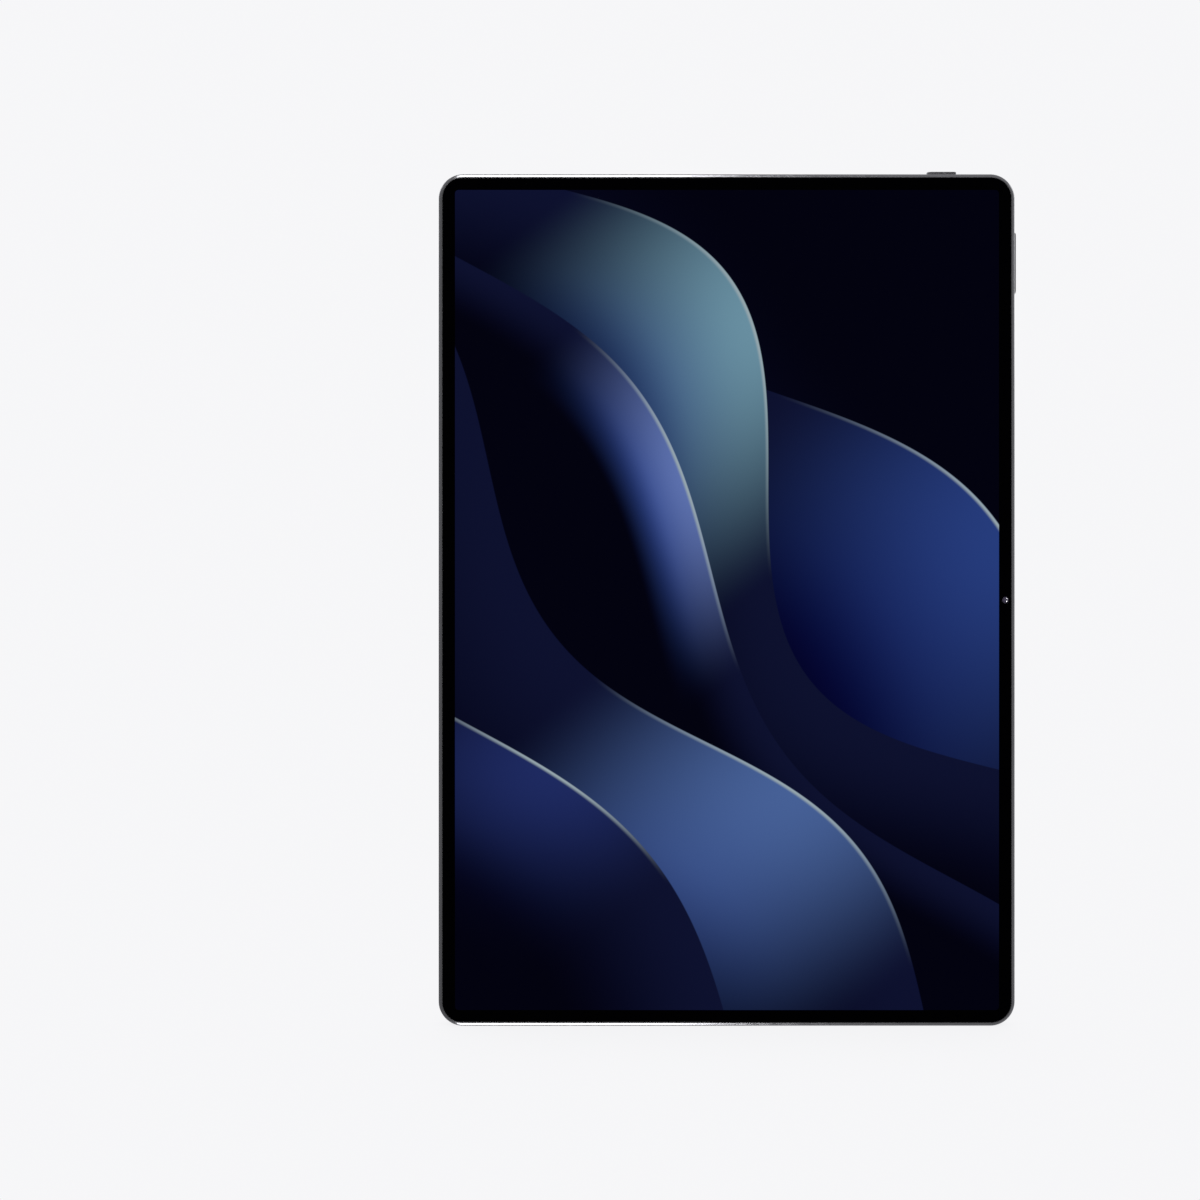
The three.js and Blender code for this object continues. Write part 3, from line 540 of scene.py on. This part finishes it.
METAL = blasted_metal()
POLISHED = plain("polished_edge", (0.6, 0.6, 0.62), 1.0, 0.10, 0.20)
# Painted shade: the walls of every cut, hole and gap are made far darker than the metal outside, as the
# shade inside them.
SHADED_CUT_WALL = plain("cut_wall_painted_shade", (0.10, 0.10, 0.105), 0.9, 0.38, 0.55, 3000.0)
RIM_METAL = plain("satin_rim", METAL_LIGHT, METALLIC, 0.17, 0.23, 300.0)
METAL_SET = [METAL, POLISHED, SHADED_CUT_WALL, RIM_METAL]
INK = plain("inked_glass", SCREEN_BLACK, 0.0, 0.02, 0.045, 25.0, IOR=1.5)
PICTURE = wave_picture()
CLEAR = window_glass(0.004)
GLOSS_BLACK = plain("gloss_black", (0.008, 0.008, 0.009), 0.0, 0.12, 0.15, 60.0)
SATIN_BLACK = plain("satin_black", (0.022, 0.022, 0.024), 0.0, 0.35, 0.48)
STEEL = plain("socket_steel", (0.55, 0.55, 0.56), 1.0, 0.22, 0.34)
GOLD = plain("contact_gold", (0.83, 0.58, 0.24), 1.0, 0.18, 0.30)
SMOKED = plain("smoked_lens", (0.045, 0.04, 0.062), 0.0, 0.03, 0.06, Coat_Weight=1.0, Coat_IOR=1.9)
VIOLET = plain("violet_lens", (0.03, 0.016, 0.06), 0.0, 0.03, 0.08, Coat_Weight=1.0)
COATED = lens_coating()
PHOSPHOR = phosphor()

# ---------------------------------------------------------------- rear housing


def shell_ring(inset, y):
    return placed(through(), rounded_rect(SIDE - inset, END - inset, BODY_RADIUS - inset), y)


def rear_housing():
    inside = [(WALL, -BACK_WALL), (WALL, LEDGE_Y), (FRONT_BEVEL, LEDGE_Y)]
    bevel = edge_curve(0.0, -RIM_Y, FRONT_BEVEL, 12, FRONT_SWEEP, BEVEL_DEPTH)
    front = [(inset, -out) for inset, out in bevel]
    back = edge_curve(0.0, 0.0, BACK_FILLET, 14, BACK_SWEEP)
    rings = [shell_ring(inset, y) for inset, y in inside + front[::-1] + back]
    bands = [CUT] * (len(inside) - 1) + [SATIN] * len(front) + [BLASTED] + [SATIN] * (len(back) - 1)
    shell = Mesh().loft(rings, bands, caps=(CUT, BLASTED)).build("housing_shell", METAL_SET)

    tools = Mesh()
    slot = grown_stadium(SLOT_HALF, SLOT_HALF_WIDTH, 8)
    for name, edge in (("top", on_top), ("bottom", on_bottom)):
        for side in ("left", "right"):
            dust_mesh = middle(f"speaker_mesh_{name}_{side}")
            for i in range(SLOT_COUNT):
                x = dust_mesh.x + (i - (SLOT_COUNT - 1) / 2) * SLOT_PITCH
                add_hole(tools, edge(x, dust_mesh.y), slot, CUT_DEPTH, FINE_CHAMFER, SATIN)
    power = grown_stadium(POWER_HALF + KEY_GAP, KEY_HALF + KEY_GAP)
    volume = grown_stadium(VOLUME_HALF + KEY_GAP, KEY_HALF + KEY_GAP)
    socket = grown_stadium(USB_HALF + KEY_GAP, USB_HALF_HEIGHT + KEY_GAP)
    add_hole(tools, on_top(POWER.x, POWER.y), power, CUT_DEPTH, FINE_CHAMFER)
    add_hole(tools, on_right(VOLUME.y, VOLUME.z), volume, CUT_DEPTH, FINE_CHAMFER)
    add_hole(tools, on_bottom(USB.x, USB.y), socket, CUT_DEPTH, SOCKET_CHAMFER)
    mic = grown_circle(MIC_RADIUS, 32)
    top_mic, side_mic = middle("top_microphone"), middle("side_microphone")
    add_hole(tools, on_top(top_mic.x, top_mic.y), mic, CUT_DEPTH, rim=SATIN)
    add_hole(tools, on_right(side_mic.y, side_mic.z), mic, CUT_DEPTH, rim=SATIN)
    add_hole(tools, through(LENS.x, LENS.z), lambda grow: island(ISLAND_GAP + grow), CUT_DEPTH)
    piece(carve(shell, tools), "rear_housing")


# ---------------------------------------------------------------- glass and picture


def front_glass():
    edge = [(inset, -out) for inset, out in edge_curve(0.0, -GLASS_FRONT, GLASS_EDGE)]

    def ring(inset, y):
        outline = rounded_rect(GLASS_SIDE - inset, GLASS_END - inset, GLASS_RADIUS - inset)
        return placed(through(), outline, y)

    rings = [ring(0.0, GLASS_BACK)] + [ring(inset, y) for inset, y in edge]
    picture = rounded_rect(PICTURE_SIDE, PICTURE_END, PICTURE_RADIUS)
    rings += [placed(through(), picture, y) for y in (GLASS_FRONT, GLASS_BACK)]
    border = Mesh().loft(rings, closed=True).build("glass_border", [INK])
    bore = [(SELFIE_RADIUS, -2 * GLASS_FRONT), (SELFIE_RADIUS, 0.0)]
    port = Mesh().loft(turned(bore, through(SELFIE.x, SELFIE.z, -1), SELFIE_STEPS))
    piece(carve(border, port), "cover_glass")

    lcd_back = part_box("lcd_panel")[1].y
    pane = Mesh().loft([placed(through(), picture, y) for y in (lcd_back, GLASS_FRONT)], caps=(0, 1))
    piece(pane.build("lit_screen", [INK, PICTURE]), "lcd_panel")


def front_camera():
    """A clear port in the black border, and the small lens behind it."""
    here = through(SELFIE.x, SELFIE.z, -1)
    front = -GLASS_FRONT
    port = [(SELFIE_RADIUS, front - PORT_THICKNESS), (SELFIE_RADIUS, front)]
    clear = Mesh().loft(turned(port, here, SELFIE_STEPS)).build("front_camera_port", [CLEAR])
    piece(clear, slot="cover_glass")
    low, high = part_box("front_camera_barrel")
    radius = size("front_camera_barrel").x / 2
    seat = -low.y + SELFIE_SEAT
    rise = edge_curve(0.0, seat + SELFIE_RIM, SELFIE_LIP, 3)
    profile = [(TINY, -high.y), (radius, -high.y)] + [(radius - inset, out) for inset, out in rise]
    bulge = radius - 1.5 * SELFIE_LIP
    arch = quarter_turn(12, whole=False)
    dome = [(bulge * math.cos(t), seat + SELFIE_CROWN * math.sin(t)) for t in arch]
    bands = [0] * len(profile) + [1] * (len(dome) - 1)
    rings = turned(profile + dome, here, SELFIE_STEPS)
    lens = Mesh().loft(rings, bands, caps=(0, 1)).build("front_camera_lens", [GLOSS_BLACK, SMOKED])
    piece(lens, "front_camera_barrel")


# ---------------------------------------------------------------- keys


def key_cap(name, node, body, place, half, depth):
    """A key with a rounded outer edge. depth is how deep it reaches and how far it stands proud."""
    inner, proud = depth
    steps = [(0.0, -inner)] + edge_curve(0.0, proud, KEY_EDGE, 6)
    rings = [placed(place, stadium(half - inset, KEY_HALF - inset, 20), out) for inset, out in steps]
    piece(Mesh().loft(rings).build(name, [METAL]), node, body=body)


def keys():
    power = (KEY_REACH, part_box("power_button")[1].z - END)
    key_cap("power_cap", "power_button", POWER_KEY, on_top(POWER.x, POWER.y), POWER_HALF, power)
    volume = (KEY_REACH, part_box("volume_key")[1].x - SIDE)
    key_cap("volume_cap", "volume_key", VOLUME_KEY, on_right(VOLUME.y, VOLUME.z), VOLUME_HALF, volume)


# ---------------------------------------------------------------- charging socket


def charging_socket():
    low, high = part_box("usb_c_shell")
    place, lip = on_bottom(USB.x, USB.y), USB_LIP
    mouth, back = -END - low.z, -END - high.z

    def ring(inset, out):
        return placed(place, stadium(USB_HALF - inset, USB_HALF_HEIGHT - inset, 20), out)

    wall = [(0.0, back), (0.0, mouth - lip), (lip, mouth), (USB_WALL - lip, mouth), (USB_WALL, mouth - lip)]
    rings = [ring(inset, out) for inset, out in wall] + [ring(USB_WALL, back + USB_FLOOR)]
    piece(Mesh().loft(rings).build("usb_c_shroud", [STEEL]), "usb_c_shell")

    tongue_low, tongue_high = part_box("usb_c_tongue")
    half, thick = (tongue_high.x - tongue_low.x) / 2, BLADE_HALF_THICKNESS
    root, tip = -END - tongue_high.z, -END - tongue_low.z
    nose = [(half, thick, root), (half, thick, tip - 2 * BLADE_ROUNDING)]
    nose += [(half - BLADE_ROUNDING, thick - BLADE_ROUNDING, tip)]
    shoulder = [(half, SHOULDER_HALF_THICKNESS, out) for out in (root, root + SHOULDER_LENGTH)]
    blade = Mesh()
    for sections in (nose, shoulder):
        blade.loft([placed(place, rounded_rect(w, h, BLADE_ROUNDING, 4), out) for w, h, out in sections])
    for i in range(CONTACTS):
        x = USB.x + (i - (CONTACTS - 1) / 2) * CONTACT_PITCH
        for side in (-1, 1):
            y = USB.y + side * thick
            tip_corner = (x - CONTACT_HALF, y - CONTACT_PROUD, tongue_low.z + CONTACT_START)
            root_corner = (x + CONTACT_HALF, y + CONTACT_PROUD, tongue_low.z + CONTACT_END)
            blade.block(tip_corner, root_corner, 1)
    piece(blade.build("usb_c_blade", [SATIN_BLACK, GOLD]), "usb_c_tongue")


# ---------------------------------------------------------------- rear camera island


def camera_plate():
    here = through(LENS.x, LENS.z)
    steps = [(0.0, PLATE_FOOT)] + edge_curve(0.0, PLATE_TOP, PLATE_EDGE)
    plate = Mesh().loft([placed(here, island(-inset), out) for inset, out in steps])
    tools = Mesh()
    face = through(LENS.x, LENS.z, base=PLATE_TOP)
    add_hole(tools, face, grown_circle(LENS_HOLE), PLATE_CUT_DEPTH)
    hole = grown_circle(SMALL_HOLE, SMALL_STEPS)
    for window in (FLASH, SENSOR):
        face = through(window.x, window.z, base=PLATE_TOP)
        add_hole(tools, face, hole, PLATE_CUT_DEPTH, SMALL_CHAMFER)
    piece(carve(plate.build("island_plate", METAL_SET), tools), "camera_plate")


def camera_ring():
    """The metal collar round the lens: a long slope outside, and a polished chamfer inside."""
    crown = RING_INNER + RING_LIP
    reach, rise = RING_OUTER - crown, RING_TOP - RING_BASE
    outside = [(crown + reach * math.cos(t), RING_BASE + rise * math.sin(t)) for t in quarter_turn(12)]
    profile = [(RING_INNER, RING_FOOT), (RING_OUTER, RING_FOOT)] + outside
    profile += [(RING_INNER, RING_TOP - RING_LIP)]
    bands = [BLASTED] * (len(outside) + 1) + [BRIGHT, CUT]
    rings = turned(profile, through(LENS.x, LENS.z), COLLAR_STEPS)
    piece(Mesh().loft(rings, bands, closed=True).build("lens_collar", METAL_SET), "camera_ring")


def camera_window():
    low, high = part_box("camera_window")
    radius = size("camera_window").x / 2
    profile = [(radius, low.y), (radius, high.y - WINDOW_EDGE), (radius - WINDOW_EDGE, high.y)]
    window = Mesh().loft(turned(profile, through(LENS.x, LENS.z), WINDOW_STEPS))
    piece(window.build("window_glass", [CLEAR]), "camera_window")


def lens_baffle():
    """The black print under the window, and the stepped funnel inside it."""
    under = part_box("lens_baffle")[1].y
    print_back = under - INK_THICKNESS
    profile = [(INK_OUTER, print_back), (INK_OUTER, under), (INK_INNER, under)]
    for i in range(FUNNEL_STEPS):
        share = (i + 1) / FUNNEL_STEPS
        radius = INK_INNER + (THROAT_RADIUS - INK_INNER) * share
        y = under + (THROAT_Y - under) * share
        profile += [(radius + TREAD, y + RISER), (radius, y)]
    profile += [(THROAT_RADIUS, THROAT_Y - FUNNEL_WALL), (INK_INNER, print_back - FUNNEL_WALL)]
    bands = [0, 0] + [1] * (len(profile) - 2)
    rings = turned(profile, through(LENS.x, LENS.z), WINDOW_STEPS)
    funnel = Mesh().loft(rings, bands, closed=True).build("lens_funnel", [GLOSS_BLACK, SATIN_BLACK])
    piece(funnel, "lens_baffle")


def focus_lens():
    here = through(LENS.x, LENS.z)
    low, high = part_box("lens_barrel")
    lip, seat = BARREL_LIP, high.y - LENS_SEAT
    bore = ELEMENT_RADIUS + ELEMENT_GAP
    profile = [(BARREL_RADIUS, low.y), (BARREL_RADIUS, high.y - lip), (BARREL_RADIUS - lip, high.y)]
    profile += [(BARREL_RADIUS - 1.5 * lip, high.y), (bore, high.y - lip), (bore, seat)]
    rings = turned(profile, here)
    barrel = Mesh().loft(rings, [0, 1, 1, 0, 0]).build("barrel", [SATIN_BLACK, POLISHED])
    piece(barrel, "lens_barrel", body=FOCUS_LENS)

    crown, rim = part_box("lens_front_element")[1].y, high.y - ELEMENT_RIM
    arch = quarter_turn(12, whole=False)
    dome = [(ELEMENT_RADIUS * math.cos(t), rim + (crown - rim) * math.sin(t)) for t in arch]
    rings = turned([(ELEMENT_RADIUS, seat + SEAT_GAP)] + dome + [(TINY, crown)], here)
    element = Mesh().loft(rings).build("front_element", [COATED])
    piece(element, "lens_front_element", body=FOCUS_LENS)


def flash_and_sensor():
    edge, bore = SMALL_EDGE, FLASH_RADIUS + FLASH_GAP
    flash = through(FLASH.x, FLASH.z)
    profile = [(bore, SMALL_FRONT), (SMALL_WINDOW, SMALL_FRONT), (SMALL_WINDOW, SMALL_BACK - edge)]
    profile += [(SMALL_WINDOW - edge, SMALL_BACK), (bore + edge, SMALL_BACK), (bore, SMALL_BACK - edge)]
    bezel = Mesh().loft(turned(profile, flash, SMALL_STEPS), closed=True)
    piece(bezel.build("flash_surround", [GLOSS_BLACK]), "flash_bezel")

    # The flash lens is moulded with two crossed grooves.
    face = SMALL_BACK - FLASH_DIP

    def height(a, b):
        nearest = min(abs(a - b), abs(a + b)) / math.sqrt(2)
        return face - GROOVE_DEPTH * max(0.0, 1 - nearest / GROOVE_HALF_WIDTH)

    radii = [FLASH_RADIUS * (1 - i / FLASH_RINGS) for i in range(FLASH_RINGS)] + [FLASH_CORE]
    rings = turned([(FLASH_RADIUS, SMALL_FRONT)], flash)
    rings += [[flash(a, b, height(a, b)) for a, b in circle(radius)] for radius in radii]
    piece(Mesh().loft(rings).build("flash_dome", [PHOSPHOR]), "flash_lens")

    sensor = through(SENSOR.x, SENSOR.z)
    eye, floor = SENSOR_EYE, SMALL_BACK - SENSOR_DIP
    profile = [(SMALL_WINDOW, SMALL_FRONT), (SMALL_WINDOW, SMALL_BACK - edge)]
    profile += [(SMALL_WINDOW - edge, SMALL_BACK), (eye + edge, SMALL_BACK)]
    profile += [(eye, SMALL_BACK - edge), (eye, floor)]
    arch = quarter_turn(6, whole=False)
    dome = [(0.9 * eye * math.cos(t), floor + 0.8 * SENSOR_DIP * math.sin(t)) for t in arch]
    bands = [0] * len(profile) + [1] * (len(dome) - 1)
    rings = turned(profile + dome, sensor, SMALL_STEPS)
    disc = Mesh().loft(rings, bands, caps=(0, 1)).build("sensor_disc", [GLOSS_BLACK, VIOLET])
    piece(disc, "sensor_window")


# ---------------------------------------------------------------- parts inside, and the dust meshes


# For each material slot: the finish's name, how metallic it is, and its lowest and highest roughness.
INNER_FINISHES = {
    "black_plastic": ("moulded_black", 0.0, 0.45, 0.6),
    "light_guide": ("white_film", 0.0, 0.4, 0.55),
    "sheet_steel": ("pressed_steel", 1.0, 0.25, 0.4),
    "battery_pouch": ("laminated_pouch", 0.4, 0.4, 0.55, 200.0),
    "circuit_board": ("solder_mask", 0.0, 0.35, 0.5),
    "chip_package": ("moulded_epoxy", 0.0, 0.5, 0.65),
    "flex_circuit": ("polyimide_film", 0.0, 0.3, 0.45),
    "graphite_film": ("graphite_sheet", 0.3, 0.45, 0.6),
}


def inner_finishes():
    """Gives every CAD node still shown a finish made for its material slot."""
    made = {"phosphor": PHOSPHOR, "dust_mesh": woven_mesh()}
    for name, node in frame["nodes"].items():
        if node.hide_render:
            continue
        slot = SLOT_OF[name]
        if slot not in made:
            finish, *numbers = INNER_FINISHES[slot]
            made[slot] = plain(finish, TONE_OF[slot], *numbers)
        node.data.materials.clear()
        node.data.materials.append(made[slot])


# ---------------------------------------------------------------- stage, light and camera

PALE = (0.925, 0.925, 0.94)
FLOOR_HALF = 3.0
CONTACT_REACH, CONTACT_SHADE = 0.06, 0.93  # how far the shade under the tablet reaches, and how pale it is


def stage_floor():
    corners = [(x, y, -END) for x, y in ((-1, -1), (1, -1), (1, 1), (-1, 1))]
    mesh = bpy.data.meshes.new("floor")
    mesh.from_pydata([(x * FLOOR_HALF, y * FLOOR_HALF, z) for x, y, z in corners], [], [(0, 1, 2, 3)])
    floor = bpy.data.objects.new("floor", mesh)
    bpy.context.scene.collection.objects.link(floor)
    pale = Shader("pale_floor", PALE, 0.0, 0.9)
    near = pale.add("AmbientOcclusion", {"Distance": CONTACT_REACH}, samples=8).outputs["AO"]
    shade = pale.ramp(near, 0.0, 1.0, CONTACT_SHADE, 1.0)
    glow = pale.add("Emission", {0: (*PALE, 1.0), 1: shade})
    pale.show(glow.outputs[0])
    mesh.materials.append(pale.material)
    floor.visible_glossy = floor.visible_diffuse = floor.visible_shadow = False


def soft_box(name, place, width, height, power, aim=(0, 0, 0), mirrored=True):
    """A rectangular area light. One that isn't mirrored lights things without showing in them."""
    lamp = bpy.data.lights.new(name, "AREA")
    lamp.shape, lamp.size, lamp.size_y, lamp.energy = "RECTANGLE", width, height, power
    thing = bpy.data.objects.new(name, lamp)
    thing.location = place
    thing.rotation_euler = (Vector(aim) - Vector(place)).to_track_quat("-Z", "Y").to_euler()
    thing.visible_camera = False
    thing.visible_glossy = mirrored
    bpy.context.scene.collection.objects.link(thing)
    return thing


SKY_X, SKY_Y, SKY_HEIGHT = -0.1275, -0.12, 0.95  # middle of the boxes above and below the tablet
GLINT_BOX, GLINT_POWER = 0.36, 6


def lens_glints(name, lenses, places):
    """Small lights that shine on these lenses only, for the bright spots that curved lenses show."""
    lens_only = bpy.data.collections.new(name)
    for lens in lenses:
        lens_only.objects.link(bpy.data.objects[lens])
    for i, place in enumerate(places):
        lamp = soft_box(f"{name}_{i}", place, GLINT_BOX, GLINT_BOX, GLINT_POWER)
        lamp.light_linking.receiver_collection = lens_only


def studio_light():
    # These two show as the white stretch along the left half of the short edges.
    for name, height in (("overhead_box", SKY_HEIGHT), ("under_box", -SKY_HEIGHT)):
        place, aim = (SKY_X, SKY_Y, height), (SKY_X, SKY_Y, 0)
        soft_box(name, place, width=0.365, height=0.36, power=2.7, aim=aim)
    soft_box("front_fill", (-0.3, -1.2, 0.6), width=1.0, height=1.0, power=22, mirrored=False)
    soft_box("back_left_box", (-1.2, 1.0, 0.9), width=1.4, height=1.0, power=5)
    soft_box("back_right_box", (1.3, 1.0, 0.8), width=1.4, height=1.0, power=5)
    lens_glints("front_lens_glint", ["front_camera_lens"], [(0.67, -0.7, 0.41), (0.67, -0.7, -0.41)])
    lens_glints("rear_lens_glint", ["front_element", "sensor_disc"], [(0.35, 0.9, 0.5), (-0.55, 0.75, 0.6)])


def studio_world():
    """A room that is dark in front, so that the glass stays black, and lighter behind and to the right."""
    world = bpy.data.worlds.new("studio")
    bpy.context.scene.world = world
    world.use_nodes = True
    tree = world.node_tree
    tree.nodes.clear()

    def smooth_step(value, low, high, to_low, to_high):
        inputs = {0: value, 1: low, 2: high, 3: to_low, 4: to_high}
        return add_node(tree, "MapRange", inputs, interpolation_type="SMOOTHSTEP").outputs[0]

    towards = add_node(tree, "TexCoord").outputs["Generated"]
    x, y, _ = add_node(tree, "SeparateXYZ", {0: towards}).outputs
    front = smooth_step(y, -0.93, 0.0, 0.0, 0.17)
    rear = smooth_step(y, 0.0, 0.9, 0.0, 0.25)
    side = smooth_step(x, -1.0, 1.0, 0.6, 1.3)
    room = add_node(tree, "Math", {0: front, 1: rear}, operation="ADD").outputs[0]
    level = add_node(tree, "Math", {0: room, 1: side}, operation="MULTIPLY").outputs[0]
    dim = add_node(tree, "Background", {0: (1, 1, 1.03, 1), 1: level}).outputs[0]
    pale = add_node(tree, "Background", {0: (*PALE, 1), 1: 1.0}).outputs[0]
    seen = add_node(tree, "LightPath").outputs["Is Camera Ray"]
    mix = add_node(tree, "MixShader", {0: seen, 1: dim, 2: pale}).outputs[0]
    add_node(tree, "OutputWorld", {0: mix})


CAMERA_DISTANCE = 0.4697  # from the glass
CAMERA_X = -0.0426  # left of the tablet, which stands right of the middle in the picture
LENS_LENGTH, SENSOR_WIDTH = 42.0, 36.0


def camera():
    data = bpy.data.cameras.new("camera")
    data.sensor_width, data.lens = SENSOR_WIDTH, LENS_LENGTH
    data.clip_start, data.clip_end = 0.01, 50.0
    thing = bpy.data.objects.new("camera", data)
    thing.location = (CAMERA_X, GLASS_FRONT - CAMERA_DISTANCE, 0.0)
    thing.rotation_euler = (math.pi / 2, 0, 0)
    bpy.context.scene.collection.objects.link(thing)
    bpy.context.scene.camera = thing


rear_housing()
front_glass()
front_camera()
keys()
charging_socket()
camera_plate()
camera_ring()
camera_window()
lens_baffle()
focus_lens()
flash_and_sensor()
inner_finishes()
stage_floor()
studio_light()
studio_world()
camera()
bpy.context.scene.view_settings.view_transform = "Standard"
